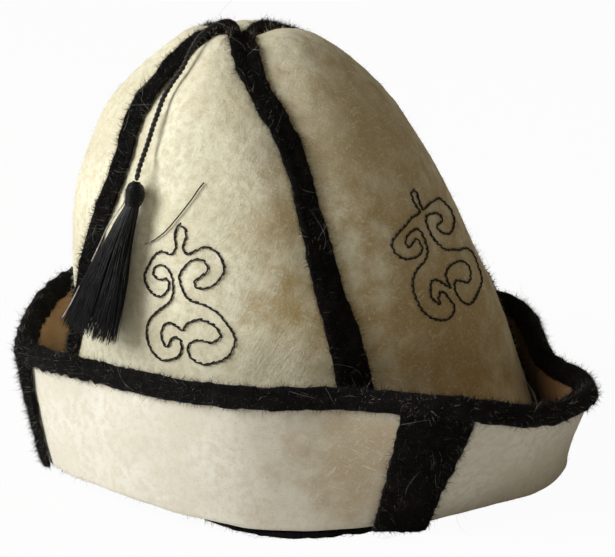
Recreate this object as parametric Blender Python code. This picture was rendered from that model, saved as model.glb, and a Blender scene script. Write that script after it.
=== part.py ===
"""Kalpak: a hat of four felt gores under black pile bands, with a turned-up brim and a corded tassel.

Metres, +Z up. The hat rests on its lower edge at Z = 0. Its length lies along X, the side with the
front seam faces -Y, and azimuths run from +X towards +Y, in degrees. Sizes are chosen from the middle
of the head opening, and the finished hat is then moved until its outline is centred over the origin.
"""

import math

import bmesh
import bpy
from mathutils import Matrix, Vector

# Head opening and walls
OPENING_LENGTH = 0.199       # inside the crown at its lower edge, along X
OPENING_WIDTH = 0.161        # the same, along Y
PLAN_EXPONENT = 1.9          # 2 is an ellipse, less is more pointed at its ends
FELT = 0.003                 # wall of the crown and of the brim
FACING = 0.001               # smooth cloth on the brim's side that faces the crown
PILE = 0.0024                # height of the black pile on its bands
FIT_GAP = 0.0005             # left between two pieces that are sewn together

# Crown
CROWN_HEIGHT = 0.1875        # top of the gores
CROWN_LEAN = 0.0215          # how far the top leans towards -X
CROWN_NOD = 0.006            # how far the apex leans towards -Y
SEAM_GROOVE = 0.0058         # how deep a seam sinks between two gores
GROOVE_REACH = 0.026         # from a seam to the full roundness of the gore
APEX_DIP = 0.0110            # sink of the point where the seams cross
APEX_DIP_RADIUS = 0.022
APEX_FLAT_RADIUS = 0.010     # nearer to the apex than this, the grooves no longer draw the felt in
APEX_OPENING = 0.0034        # radius that the gores leave open under the cord's knot
CROWN_BAND_WIDTH = 0.0135
BAND_FOOT = 0.010            # height at which the crown's bands end
PINCH_DEPTH = 0.003          # depth of the soft folds in the gores

# Brim
FOLD_GUTTER = 0.0075         # from the crown's felt to the brim's outer side, at the lower edge
BRIM_HEIGHT = 0.058          # of the felt, without its binding
BRIM_FLARE = 0.020           # outward lean of the brim's edge
BRIM_BOW = 0.0012            # outward swell of the brim between its edges
EDGE_LIFT = 0.008            # how far the lower edge curls up off the surface
EDGE_SWAY = 0.004            # how far the lower edge strays from its oval
BRIM_BAND_WIDTH = 0.021
BRIM_BAND_FOOT = 0.0012      # from the brim's lower edge to the bands' lower ends
RIM_BINDING_DEPTH = 0.0056   # how far the binding reaches down each side of the brim
FACING_FOOT = 0.30           # share of the brim's height where its facing ends

# Pile strip that binds the lower edge
HEM_HEIGHT = 0.0032
HEM_INSET = 0.0006           # from the brim's outer side, where the strip shows

# Tassel
CORD_DIAMETER = 0.0021
HEAD_DIAMETER = 0.0076
SKIRT_WIDTH = 0.039          # across the spread ends of its threads
SKIRT_DEPTH = 0.0086
LOCKS = 9                    # bundles that the threads of the skirt fall into
LOCK_RELIEF = 0.10           # share of the skirt's radius by which the locks stand out
LOCK_STAGGER = 0.0016        # how much the ends of the locks differ in length

# Shares of the height, of half the length and width, of the lean and nod and of the groove's depth
CROWN_SECTIONS = (
    # height, length, width, lean, nod, groove
    (0.000, 1.000, 1.000, 0.00, 0.0, 0.06),
    (0.130, 0.958, 0.980, 0.14, 0.0, 0.12),
    (0.257, 0.898, 0.950, 0.23, 0.0, 0.22),
    (0.353, 0.868, 0.920, 0.35, 0.0, 0.32),
    (0.490, 0.803, 0.868, 0.64, 0.0, 0.50),
    (0.625, 0.742, 0.798, 0.85, 0.0, 0.68),
    (0.760, 0.618, 0.686, 0.99, 0.0, 0.88),
    (0.830, 0.528, 0.598, 1.03, 0.0, 0.96),
    (0.897, 0.403, 0.470, 1.03, 0.1, 1.00),
    (0.950, 0.275, 0.325, 1.08, 0.3, 1.00),
    (0.987, 0.145, 0.170, 1.18, 0.7, 1.00),
    (1.000, 0.000, 0.000, 1.28, 1.0, 1.00),
)

# Azimuth of each crown seam at nine places up the crown, in order round the hat
CROWN_SEAMS = (
    # side, then azimuths at even steps from the foot to the apex
    ("left", -179.0, -178.0, -173.0, -162.5, -152.8, -156.5, -157.5, -151.5, -146.0),
    ("front", -80.5, -80.5, -79.6, -79.8, -79.6, -83.8, -95.8, -101.0, -103.0),
    ("right", 8.0, 8.0, 8.5, 13.0, 19.0, 27.0, 36.0, 40.0, 42.0),
    ("back", 104.0, 106.0, 108.0, 110.4, 113.0, 116.3, 120.0, 124.0, 128.0),
)

# The bands' width as a share of CROWN_BAND_WIDTH, at even steps from the foot to the apex
CROWN_BAND_SHARES = (1.1, 1.1, 1.08, 0.90, 0.72, 0.83, 0.85, 0.90, 0.90)
GORES = ("front_left", "front_right", "back_right", "back_left")
BRIM_SEAMS = (
    # side, foot, edge
    ("left", -180.0, -180.0),
    ("front", -75.0, -70.5),
    ("right", 8.0, 8.0),
    ("back", 107.0, 107.0),
)

# Soft folds pinched into the gores: place, reach and depth
PINCHES = (
    # azimuth, height share, reach in degrees, reach as height share, share of PINCH_DEPTH
    (-142.0, 0.82, 9.0, 0.10, 0.7),
    (-137.0, 0.58, 9.0, 0.13, 1.0),
    (-131.0, 0.36, 10.0, 0.09, 0.4),
    (-40.0, 0.30, 16.0, 0.10, 0.5),
    (60.0, 0.45, 12.0, 0.16, 0.7),
    (145.0, 0.50, 10.0, 0.14, 0.6),
)

# The brim's edge, as shares of its flare and height
RIM = (
    # azimuth, flare, height
    (-180.0, 0.47, 0.89),
    (-166.0, 0.17, 0.96),
    (-152.0, -0.07, 0.985),
    (-128.0, 0.30, 1.045),
    (-111.0, 0.42, 1.065),
    (-93.0, 0.28, 1.05),
    (-80.0, 0.70, 1.045),
    (-70.5, 1.17, 1.02),
    (-57.0, 1.27, 0.885),
    (-47.0, 1.25, 0.81),
    (-38.0, 1.12, 0.81),
    (-25.0, 0.57, 0.76),
    (-12.0, -0.42, 0.75),
    (-3.0, -0.64, 0.87),
    (12.0, -0.54, 0.95),
    (33.0, -0.32, 0.90),
    (60.0, 0.10, 0.92),
    (90.0, 0.32, 1.02),
    (107.0, 0.70, 1.05),
    (125.0, 0.45, 1.09),
    (145.0, 0.65, 1.10),
    (155.0, 0.70, 1.03),
    (167.0, 0.60, 0.93),
)

# The lower edge, as shares of EDGE_LIFT and of EDGE_SWAY
FOLD = (
    # azimuth, lift, sway
    (-180.0, 0.15, -0.6),
    (-166.0, 0.70, -0.7),
    (-150.0, 1.00, -0.8),
    (-135.0, 0.80, -0.8),
    (-124.0, 0.45, -0.4),
    (-111.0, 0.0, 0.0),
    (-74.0, 0.0, -0.2),
    (-61.0, 0.30, -0.2),
    (-47.0, 0.30, 0.3),
    (-34.0, 0.05, 0.9),
    (-20.0, 0.0, 0.9),
    (-4.0, 0.0, 0.1),
    (90.0, 0.0, 0.0),
    (150.0, 0.0, 0.0),
    (168.0, 0.0, -0.3),
)

# Where the hem's strip shows under the felt, as shares of its full reach
HEM_SHOWS = (
    # azimuth, felt raised, strip pushed out
    (-180.0, 0.0, 0.0),
    (-131.0, 0.0, 0.0),
    (-117.0, 1.0, 0.0),
    (-106.0, 1.0, 1.0),
    (-88.0, 1.0, 1.0),
    (-78.0, 1.0, 0.0),
    (-64.0, 0.0, 0.0),
    (0.0, 0.0, 0.0),
    (90.0, 0.0, 0.0),
)

# The cord's way out of the apex, over the left band and down the gore to the tassel's head
CORD_ROUTE = (
    (-0.0275, -0.0060, 0.1745),
    (-0.0275, -0.0060, 0.1775),
    (-0.0278, -0.0063, 0.1805),
    (-0.0291, -0.0073, 0.1832),
    (-0.0317, -0.0093, 0.1849),
    (-0.0353, -0.0121, 0.1850),
    (-0.0396, -0.0155, 0.1836),
    (-0.0440, -0.0195, 0.1812),
    (-0.0479, -0.0232, 0.1764),
    (-0.0514, -0.0262, 0.1704),
    (-0.0558, -0.0274, 0.1646),
    (-0.0591, -0.0291, 0.1596),
    (-0.0615, -0.0320, 0.1545),
    (-0.0637, -0.0348, 0.1497),
    (-0.0657, -0.0376, 0.1447),
    (-0.0678, -0.0404, 0.1400),
    (-0.0695, -0.0422, 0.1360),
    (-0.0710, -0.0438, 0.1312),
)

# The tassel's head from its top to its neck, lying on the crown
HEAD_SECTIONS = (
    # azimuth, place up the crown, share of the head's radius
    (-139.5, 0.4970, 0.45),
    (-139.5, 0.4945, 0.80),
    (-139.5, 0.4890, 1.00),
    (-139.7, 0.4820, 0.96),
    (-140.0, 0.4760, 0.78),
    (-140.3, 0.4710, 0.66),
    (-140.5, 0.4660, 0.64),
)

# The tassel's skirt from its neck to its ends
SKIRT_SECTIONS = (
    # azimuth, place up the crown, shares of width and depth, clearance as a share of the pile
    (-140.7, 0.4630, 0.14, 0.60, 0.2),
    (-142.0, 0.4480, 0.19, 0.80, 0.3),
    (-143.7, 0.4240, 0.27, 0.95, 0.3),
    (-145.6, 0.3950, 0.39, 1.00, 0.5),
    (-147.6, 0.3650, 0.53, 1.00, 0.8),
    (-149.7, 0.3340, 0.70, 0.95, 1.0),
    (-152.3, 0.3050, 0.88, 0.88, 1.2),
    (-154.0, 0.2880, 1.00, 0.82, 1.3),
)

# Across a band of pile: share of its half width, and share of the pile's height there
BAND_PROFILE = ((-1.0, 0.6), (-0.5, 0.95), (0.0, 1.0), (0.5, 0.95), (1.0, 0.6))

# Degrees from one column of points to the next round the brim
BRIM_COLUMN = 7.0

# Rows of points up the brim; the binding reaches down to the last but one
BRIM_ROWS = (0, 1, 2, 3, 4)
BINDING_ROW, EDGE_ROW = BRIM_ROWS[-2:]

MATERIALS = {
    # colour, roughness
    "crown_felt": ((0.66, 0.62, 0.49), 0.95),
    "brim_felt": ((0.80, 0.78, 0.69), 0.92),
    "black_pile": ((0.010, 0.009, 0.008), 0.90),
    "tan_facing": ((0.36, 0.17, 0.06), 0.60),
    "black_thread": ((0.006, 0.006, 0.007), 0.55),
}


def clear_scene():
    """Empties the scene that the script starts in."""
    for thing in list(bpy.data.objects):
        bpy.data.objects.remove(thing, do_unlink=True)


def material(name):
    """The named material, with its colour and roughness."""
    made = bpy.data.materials.get(name)
    if made:
        return made
    colour, roughness = MATERIALS[name]
    made = bpy.data.materials.new(name)
    made.use_nodes = True
    shader = made.node_tree.nodes["Principled BSDF"]
    shader.inputs["Base Color"].default_value = (*colour, 1.0)
    shader.inputs["Roughness"].default_value = roughness
    shader.inputs["Metallic"].default_value = 0.0
    made.diffuse_color = (*colour, 1.0)
    return made


def ease(share):
    """A smooth step from 0 to 1."""
    share = min(1.0, max(0.0, share))
    return share * share * (3.0 - 2.0 * share)


def through(before, start, end, after, share):
    """A smooth value between start and end, led by the values beside them."""
    left = 0.5 * (end - before)
    right = 0.5 * (after - start)
    square = share * share
    cube = square * share
    return (
        start * (2.0 * cube - 3.0 * square + 1.0)
        + left * (cube - 2.0 * square + share)
        + end * (3.0 * square - 2.0 * cube)
        + right * (cube - square)
    )


def along(values, share):
    """Evenly spaced values, read smoothly at a share of their whole run."""
    last = len(values) - 1
    place = min(last - 1e-9, max(0.0, share * last))
    index = int(place)
    picked = [values[min(last, max(0, index + step))] for step in (-1, 0, 1, 2)]
    return through(*picked, place - index)


def round_table(table, azimuth):
    """A row of a table that goes round the hat, read at any azimuth without overshoot."""
    count = len(table)
    azimuth = (azimuth - table[0][0]) % 360.0 + table[0][0]
    index = max(k for k in range(count) if table[k][0] <= azimuth)

    def place(k):
        turns, row = divmod(k, count)
        return table[row][0] + 360.0 * turns

    def slope(k, column):
        before = (table[k % count][column] - table[(k - 1) % count][column]) / (place(k) - place(k - 1))
        after = (table[(k + 1) % count][column] - table[k % count][column]) / (place(k + 1) - place(k))
        if before * after <= 0.0:
            return 0.0
        return 2.0 * before * after / (before + after)

    span = place(index + 1) - place(index)
    share = (azimuth - place(index)) / span
    square = share * share
    cube = square * share
    values = []
    for column in range(1, len(table[0])):
        start = table[index][column]
        end = table[(index + 1) % count][column]
        values.append(
            start * (2.0 * cube - 3.0 * square + 1.0)
            + slope(index, column) * span * (cube - 2.0 * square + share)
            + end * (3.0 * square - 2.0 * cube)
            + slope(index + 1, column) * span * (cube - square)
        )
    return values


def crown_section(rise):
    """Height, half length, half width, middle X and Y and groove, from 0, the foot, to 1, the apex."""
    shares = [along(column, rise) for column in zip(*CROWN_SECTIONS)]
    return (
        CROWN_HEIGHT * shares[0],
        (0.5 * OPENING_LENGTH + FELT) * max(0.0, shares[1]),
        (0.5 * OPENING_WIDTH + FELT) * max(0.0, shares[2]),
        -CROWN_LEAN * shares[3],
        -CROWN_NOD * shares[4],
        SEAM_GROOVE * shares[5],
    )


def plan_radius(half_length, half_width, azimuth):
    """Distance from the middle to the outline of an oval, at an azimuth."""
    angle = math.radians(azimuth)
    along = abs(math.cos(angle)) / max(half_length, 1e-7)
    across = abs(math.sin(angle)) / max(half_width, 1e-7)
    return (along ** PLAN_EXPONENT + across ** PLAN_EXPONENT) ** (-1.0 / PLAN_EXPONENT)


def edge_lift(azimuth):
    """Height of the lower edge over the surface that the hat lies on."""
    return EDGE_LIFT * round_table(FOLD, azimuth)[0]


def seam_azimuths(rise):
    """The azimuths of the four crown seams, and of the first again, at a place up the crown."""
    found = [along(azimuths, rise) for _, *azimuths in CROWN_SEAMS]
    return found + [found[0] + 360.0]


def seam_span(azimuth, rise):
    """The degrees from an azimuth to the nearest crown seam, and half the span of its gore."""
    seams = seam_azimuths(rise)
    azimuth = (azimuth - seams[0]) % 360.0 + seams[0]
    for start, end in zip(seams, seams[1:]):
        if azimuth <= end:
            return min(azimuth - start, end - azimuth), 0.5 * (end - start)
    return 0.0, 0.5 * (seams[1] - seams[0])


def pinch(azimuth, height):
    """Depth of the soft folds at a place on the crown."""
    depth = 0.0
    for middle, level, reach, tall, share in PINCHES:
        across = ((azimuth - middle + 180.0) % 360.0 - 180.0) / reach
        up = (height / CROWN_HEIGHT - level) / tall
        depth += PINCH_DEPTH * share * math.exp(-across * across - up * up)
    return depth


def crown_point(azimuth, rise):
    """A point on the outer side of the crown's felt."""
    height, half_length, half_width, middle_x, middle_y, groove = crown_section(rise)
    radius = plan_radius(half_length, half_width, azimuth)
    away, half_span = seam_span(azimuth, rise)
    reach = max(1e-6, min(GROOVE_REACH, radius * math.radians(half_span)))
    sink = (1.0 - min(1.0, radius * math.radians(away) / reach)) ** 2
    rounded = ease(radius / APEX_DIP_RADIUS)
    depth = groove * sink * rounded + APEX_DIP * (1.0 - rounded) + pinch(azimuth, height)
    top = ease((height / CROWN_HEIGHT - 0.55) / 0.45)
    steep = 0.5 * math.pi * top
    angle = math.radians(azimuth)
    out = max(0.0, radius - depth * math.cos(steep) * ease(radius / APEX_FLAT_RADIUS))
    foot = 1.0 - ease(height / BRIM_HEIGHT)
    return Vector((
        out * math.cos(angle) + middle_x,
        out * math.sin(angle) + middle_y,
        height - depth * math.sin(steep) + edge_lift(azimuth) * foot,
    ))


def surface_normal(surface, azimuth, place, turn=0.8, step=0.008):
    """The outward normal of a surface given by azimuth and place."""
    around = surface(azimuth + turn, place) - surface(azimuth - turn, place)
    up = surface(azimuth, min(1.0, place + step)) - surface(azimuth, place - step)
    return around.cross(up).normalized()


def crown_rise_at(level):
    """The place up the crown where its felt has a height, without the lift of its edge."""
    low, high = 0.0, 1.0
    for _ in range(40):
        middle = 0.5 * (low + high)
        if crown_section(middle)[0] < level:
            low = middle
        else:
            high = middle
    return 0.5 * (low + high)


def crown_rise_near_apex(radius):
    """The place up the crown where it has narrowed to a radius."""
    low, high = 0.5, 1.0
    for _ in range(40):
        middle = 0.5 * (low + high)
        if crown_section(middle)[1] > radius:
            low = middle
        else:
            high = middle
    return 0.5 * (low + high)


def sheet(name, outer, inner, finish, ring=False):
    """A closed wall between two grids of points of the same size; a ring also closes on itself."""
    rows = len(outer)
    columns = len(outer[0])
    mesh = bmesh.new()
    skins = [[[mesh.verts.new(point) for point in row] for row in grid] for grid in (outer, inner)]
    spans = columns if ring else columns - 1
    for row in range(rows - 1):
        for column in range(spans):
            beside = (column + 1) % columns
            for skin in skins:
                mesh.faces.new((
                    skin[row][column], skin[row][beside], skin[row + 1][beside], skin[row + 1][column]
                ))
    for column in range(spans):
        beside = (column + 1) % columns
        for row in (0, rows - 1):
            mesh.faces.new((
                skins[0][row][column], skins[0][row][beside], skins[1][row][beside], skins[1][row][column]
            ))
    if not ring:
        for row in range(rows - 1):
            for column in (0, columns - 1):
                mesh.faces.new((
                    skins[0][row][column], skins[0][row + 1][column],
                    skins[1][row + 1][column], skins[1][row][column],
                ))
    return finished(name, mesh, finish)


def finished(name, mesh, finish):
    """An object of the closed mesh, facing out, with smooth shading and its material."""
    bmesh.ops.recalc_face_normals(mesh, faces=mesh.faces)
    data = bpy.data.meshes.new(name)
    mesh.to_mesh(data)
    mesh.free()
    data.shade_smooth()
    data.set_sharp_from_angle(angle=math.radians(50.0))
    data.materials.append(material(finish))
    piece = bpy.data.objects.new(name, data)
    bpy.context.collection.objects.link(piece)
    return piece


def between(start, end, count):
    """Count values from start to end, both included."""
    return [start + (end - start) * k / (count - 1) for k in range(count)]


def band_half_span(width, radius, room):
    """Half the degrees that a band's width covers, kept inside the room up to its neighbour."""
    return min(math.degrees(0.5 * width / max(radius, 1e-6)), room)


def crown_radius(azimuth, rise):
    """Distance from the crown's middle to its round outline, at a place up the crown."""
    _, half_length, half_width, _, _, _ = crown_section(rise)
    return plan_radius(half_length, half_width, azimuth)


def crown_rows():
    """The places up the crown where its gores and bands have a row of points."""
    foot = crown_rise_at(HEM_HEIGHT + 2.0 * FIT_GAP)
    band_foot = crown_rise_at(BAND_FOOT)
    apex = crown_rise_near_apex(APEX_OPENING)
    return [foot] + between(band_foot, apex, 16)


def crown_band_width(rise):
    """The width of the crown's bands at a place up the crown."""
    return CROWN_BAND_WIDTH * along(CROWN_BAND_SHARES, rise)


def gore_columns(start, end, rise):
    """Azimuths across a gore, with rows at the middle and the edge of the bands beside it."""
    radius = crown_radius(0.5 * (start + end), rise)
    room = 0.23 * (end - start)
    edge = min(math.degrees(0.5 * FIT_GAP / radius), 0.04 * (end - start))
    width = crown_band_width(rise)
    near = band_half_span(width, crown_radius(start, rise), room)
    far = band_half_span(width, crown_radius(end, rise), room)
    middle = between(start + near, end - far, 9)
    return [start + edge, start + 0.5 * near] + middle + [end - 0.5 * far, end - edge]


def level_foot(outer, inner):
    """Cuts the lower edge of a wall level, from its outer side to its inner one."""
    for outside, inside in zip(outer[0], inner[0]):
        inside.z = outside.z


def loft(name, rings, finish):
    """A closed body through rings of points, with a point at the middle of each end ring."""
    mesh = bmesh.new()
    made = [[mesh.verts.new(point) for point in ring] for ring in rings]
    count = len(rings[0])
    for lower, upper in zip(made, made[1:]):
        for k in range(count):
            beside = (k + 1) % count
            mesh.faces.new((lower[k], lower[beside], upper[beside], upper[k]))
    for ring, points in ((made[0], rings[0]), (made[-1], rings[-1])):
        middle = mesh.verts.new(sum(points, Vector()) / count)
        for k in range(count):
            mesh.faces.new((ring[k], ring[(k + 1) % count], middle))
    return finished(name, mesh, finish)


def build_crown():
    """Four felt gores, each from seam to seam, with the hollow for the head inside them."""
    rows = crown_rows()
    for index, gore in enumerate(GORES):
        outer = []
        inner = []
        for rise in rows:
            seams = seam_azimuths(rise)
            azimuths = gore_columns(seams[index], seams[index + 1], rise)
            points = [crown_point(azimuth, rise) for azimuth in azimuths]
            outward = [surface_normal(crown_point, azimuth, rise) for azimuth in azimuths]
            outer.append(points)
            inner.append([point - normal * FELT for point, normal in zip(points, outward)])
        level_foot(outer, inner)
        sheet("crown_gore_" + gore, outer, inner, "crown_felt")


def build_crown_bands():
    """A strip of black pile over each crown seam, mitred where the four meet at the apex."""
    rows = crown_rows()[1:]
    for index, (side, *_) in enumerate(CROWN_SEAMS):
        outer = []
        inner = []
        for rise in rows:
            seams = seam_azimuths(rise)
            seam = seams[index]
            before = seams[index] - (seams[index - 1] if index else seams[3] - 360.0)
            after = seams[index + 1] - seams[index]
            upper = []
            lower = []
            for share, height in BAND_PROFILE:
                room = 0.46 * (before if share < 0.0 else after)
                reach = band_half_span(crown_band_width(rise), crown_radius(seam, rise), room)
                point = crown_point(seam + share * reach, rise)
                normal = surface_normal(crown_point, seam + share * reach, rise)
                lower.append(point + normal * FIT_GAP)
                upper.append(point + normal * (FIT_GAP + PILE * height))
            outer.append(upper)
            inner.append(lower)
        sheet("crown_band_" + side, outer, inner, "black_pile")


def fold_radius(azimuth):
    """Distance from the middle to the brim's outer side, at the lower edge."""
    half_length = 0.5 * OPENING_LENGTH + FELT + FOLD_GUTTER
    half_width = 0.5 * OPENING_WIDTH + FELT + FOLD_GUTTER
    sway = EDGE_SWAY * round_table(FOLD, azimuth)[1]
    return plan_radius(half_length, half_width, azimuth) + sway


def brim_foot(azimuth):
    """Height of the brim's lower edge, which rises where the hem's strip shows under it."""
    raised, _ = round_table(HEM_SHOWS, azimuth)
    return edge_lift(azimuth) + raised * (HEM_HEIGHT + FIT_GAP)


def brim_point(azimuth, rise):
    """A point on the brim's outer side, from 0 at its lower edge to 1 at its upper edge."""
    flare, tall = round_table(RIM, azimuth)
    foot = brim_foot(azimuth)
    start = fold_radius(azimuth)
    radius = start + BRIM_FLARE * flare * rise + BRIM_BOW * math.sin(math.pi * rise)
    angle = math.radians(azimuth)
    height = foot + (BRIM_HEIGHT * tall - foot) * rise
    return Vector((radius * math.cos(angle), radius * math.sin(angle), height))


def brim_length(azimuth):
    """Length of the felt from the brim's lower edge to its upper one."""
    return (brim_point(azimuth, 1.0) - brim_point(azimuth, 0.0)).length


def binding_rise(azimuth):
    """The place up the brim where its binding ends."""
    return 1.0 - RIM_BINDING_DEPTH / brim_length(azimuth)


def brim_rise(azimuth, row):
    """The place up the brim of a row of points: its foot, the facing's foot, the binding or the edge."""
    binding = binding_rise(azimuth)
    return (0.0, FACING_FOOT, 0.5 * (FACING_FOOT + binding), binding, 1.0)[row]


def brim_offset(azimuth, rise, outward, upward=0.0):
    """A point at a distance from the brim's outer side, and further up along it."""
    normal = surface_normal(brim_point, azimuth, rise)
    up = (brim_point(azimuth, 1.0) - brim_point(azimuth, 0.0)).normalized()
    return brim_point(azimuth, rise) + normal * outward + up * upward


def brim_seams(rise):
    """The azimuths of the four brim seams, and of the first again, at a place up the brim."""
    found = [foot + (edge - foot) * rise for _, foot, edge in BRIM_SEAMS]
    return found + [found[0] + 360.0]


def brim_band_half_span(seam):
    """Half the degrees that a brim band's width covers."""
    return math.degrees(0.5 * BRIM_BAND_WIDTH / fold_radius(seam))


def brim_columns(index, rise):
    """Azimuths across a brim panel, with a column at the edge of the bands beside it."""
    start, end = brim_seams(rise)[index:index + 2]
    edge = math.degrees(0.5 * FIT_GAP / fold_radius(start))
    near = brim_band_half_span(start)
    far = brim_band_half_span(end)
    count = 2 + round((BRIM_SEAMS[(index + 1) % 4][1] - BRIM_SEAMS[index][1]) % 360.0 / BRIM_COLUMN)
    middle = between(start + near, end - far, count)
    return [start + edge, start + 0.5 * near] + middle + [end - 0.5 * far, end - edge]


def all_brim_columns(rise):
    """Azimuths right round the brim, without the gap at its seams."""
    found = []
    for index in range(4):
        found += [brim_seams(rise)[index]] + brim_columns(index, rise)[1:-1]
    return found


def build_brim():
    """Four felt panels that stand round the crown."""
    for index, name in enumerate(GORES):
        outer = []
        inner = []
        for row in BRIM_ROWS:
            azimuths = brim_columns(index, row / EDGE_ROW)
            outer.append([brim_offset(a, brim_rise(a, row), 0.0) for a in azimuths])
            inner.append([brim_offset(a, brim_rise(a, row), -FELT) for a in azimuths])
        level_foot(outer, inner)
        sheet("brim_panel_" + name, outer, inner, "brim_felt")


def build_brim_bands():
    """A strip of black pile over each brim seam, from the lower edge to the binding."""
    for index, (side, _, _) in enumerate(BRIM_SEAMS):
        outer = []
        inner = []
        for row in BRIM_ROWS[:-1]:
            seam = brim_seams(row / EDGE_ROW)[index]
            drop = {0: BRIM_BAND_FOOT, BINDING_ROW: -FIT_GAP}.get(row, 0.0)
            upper = []
            lower = []
            for share, height in BAND_PROFILE:
                azimuth = seam + share * brim_band_half_span(seam)
                rise = brim_rise(azimuth, row)
                upper.append(brim_offset(azimuth, rise, FIT_GAP + PILE * height, drop))
                lower.append(brim_offset(azimuth, rise, FIT_GAP, drop))
            outer.append(upper)
            inner.append(lower)
        sheet("brim_band_" + side, outer, inner, "black_pile")


def build_rim_binding():
    """The black pile that wraps the brim's upper edge on both sides, in one ring."""
    inside = -FELT - 2.0 * FIT_GAP
    middle = -0.5 * FELT
    bulge = -0.3 * RIM_BINDING_DEPTH
    felt_side = (
        # row, outward, upward
        (BINDING_ROW, FIT_GAP, 0.0),
        (EDGE_ROW, FIT_GAP, FIT_GAP),
        (EDGE_ROW, middle, FIT_GAP),
        (EDGE_ROW, inside, FIT_GAP),
        (BINDING_ROW, inside, 0.0),
    )
    pile_side = (
        (BINDING_ROW, FIT_GAP + 0.75 * PILE, 0.0),
        (EDGE_ROW, FIT_GAP + PILE, bulge),
        (EDGE_ROW, middle, FIT_GAP + PILE),
        (EDGE_ROW, inside - PILE, bulge),
        (BINDING_ROW, inside - 0.75 * PILE, 0.0),
    )
    outer, inner = (
        [
            [brim_offset(a, brim_rise(a, row), out, up) for a in all_brim_columns(row / EDGE_ROW)]
            for row, out, up in side
        ]
        for side in (pile_side, felt_side)
    )
    sheet("rim_binding", outer, inner, "black_pile", ring=True)


def build_facing():
    """The smooth tan cloth on the side of the brim that faces the crown."""
    outer = []
    inner = []
    for row in BRIM_ROWS[1:-1]:
        azimuths = all_brim_columns(row / EDGE_ROW)
        drop = -FIT_GAP if row == BINDING_ROW else 0.0
        felt_side = -FELT - FIT_GAP
        outer.append([brim_offset(a, brim_rise(a, row), felt_side, drop) for a in azimuths])
        inner.append([brim_offset(a, brim_rise(a, row), felt_side - FACING, drop) for a in azimuths])
    sheet("brim_facing", outer, inner, "tan_facing", ring=True)


def build_hem():
    """The pile strip under the crown's and the brim's lower edges, on which the hat rests."""
    azimuths = all_brim_columns(0.0)
    outer = []
    inner = []
    for level in (0.0, 1.0):
        outside = []
        inside = []
        for azimuth in azimuths:
            _, pushed = round_table(HEM_SHOWS, azimuth)
            up = brim_point(azimuth, 1.0) - brim_point(azimuth, 0.0)
            lean = (math.hypot(*brim_point(azimuth, 1.0).xy) - fold_radius(azimuth)) / up.z
            tucked = FELT * math.hypot(1.0, lean) + FIT_GAP - min(0.0, lean) * HEM_HEIGHT
            reach = fold_radius(azimuth) - tucked + (tucked - HEM_INSET) * pushed
            crown = crown_radius(azimuth, 0.0) - FELT
            angle = math.radians(azimuth)
            height = edge_lift(azimuth) + HEM_HEIGHT * level
            outside.append(Vector((reach * math.cos(angle), reach * math.sin(angle), height)))
            inside.append(Vector((crown * math.cos(angle), crown * math.sin(angle), height)))
        outer.append(outside)
        inner.append(inside)
    sheet("hem_binding", outer, inner, "black_pile", ring=True)


def build_cord():
    """The black cord, a round tube along its route."""
    knots = [Vector(point) for point in CORD_ROUTE]
    steps = 2 * (len(knots) - 1)
    curve = bpy.data.curves.new("tassel_cord", "CURVE")
    curve.dimensions = "3D"
    curve.bevel_depth = 0.5 * CORD_DIAMETER
    curve.bevel_resolution = 2
    curve.use_fill_caps = True
    line = curve.splines.new("POLY")
    line.points.add(steps)
    for k in range(steps + 1):
        place = [along([knot[axis] for knot in knots], k / steps) for axis in range(3)]
        line.points[k].co = (*place, 1.0)
    curve.materials.append(material("black_thread"))
    cord = bpy.data.objects.new("tassel_cord", curve)
    bpy.context.collection.objects.link(cord)


def lying_on_crown(azimuth, rise, lift):
    """A point over the crown's felt, with the directions across and out from it."""
    out = surface_normal(crown_point, azimuth, rise, turn=6.0, step=0.04)
    across = Vector((0.0, 0.0, 1.0)).cross(out).normalized()
    return crown_point(azimuth, rise) + out * lift, across, out


def build_tassel_head():
    """The bound knot of the tassel, on the end of the cord."""
    sides = 12
    rings = []
    for azimuth, rise, share in HEAD_SECTIONS:
        radius = 0.5 * HEAD_DIAMETER * share
        lift = FIT_GAP + 0.5 * HEAD_DIAMETER
        middle, across, out = lying_on_crown(azimuth, rise, lift)
        rings.append([
            middle + (across * math.cos(turn) + out * math.sin(turn)) * radius
            for turn in (math.tau * k / sides for k in range(sides))
        ])
    loft("tassel_head", rings, "black_thread")


def build_tassel_skirt():
    """The threads of the tassel, fallen into locks and spread towards their ends."""
    sides = 4 * LOCKS
    rings = []
    for azimuth, rise, wide, deep, clear in SKIRT_SECTIONS:
        half_width = 0.5 * SKIRT_WIDTH * wide
        half_depth = 0.5 * SKIRT_DEPTH * deep
        middle, across, out = lying_on_crown(azimuth, rise, FIT_GAP + PILE * clear + half_depth)
        ring = []
        for k in range(sides):
            turn = math.tau * k / sides
            swell = 1.0 - LOCK_RELIEF * 0.5 * (1.0 - math.cos(LOCKS * turn))
            ring.append(
                middle
                + across * (half_width * swell * math.cos(turn))
                + out * (half_depth * swell * math.sin(turn))
            )
        rings.append(ring)
    for k, point in enumerate(rings[-1]):
        point.z += LOCK_STAGGER * math.sin(2.4 * (k // 4))
    loft("tassel_skirt", rings, "black_thread")


def centre_over_origin():
    """Moves all pieces so that the hat's outline, without its tassel, is centred over the origin."""
    hat = [piece for piece in bpy.data.objects if not piece.name.startswith("tassel_")]
    places = [vertex.co for piece in hat for vertex in piece.data.vertices]
    middle = [0.5 * (min(p[axis] for p in places) + max(p[axis] for p in places)) for axis in (0, 1)]
    shift = Matrix.Translation((-middle[0], -middle[1], 0.0))
    for piece in bpy.data.objects:
        piece.data.transform(shift)


def main():
    clear_scene()
    build_crown()
    build_crown_bands()
    build_brim()
    build_brim_bands()
    build_rim_binding()
    build_facing()
    build_hem()
    build_cord()
    build_tassel_head()
    build_tassel_skirt()
    centre_over_origin()


main()
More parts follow.
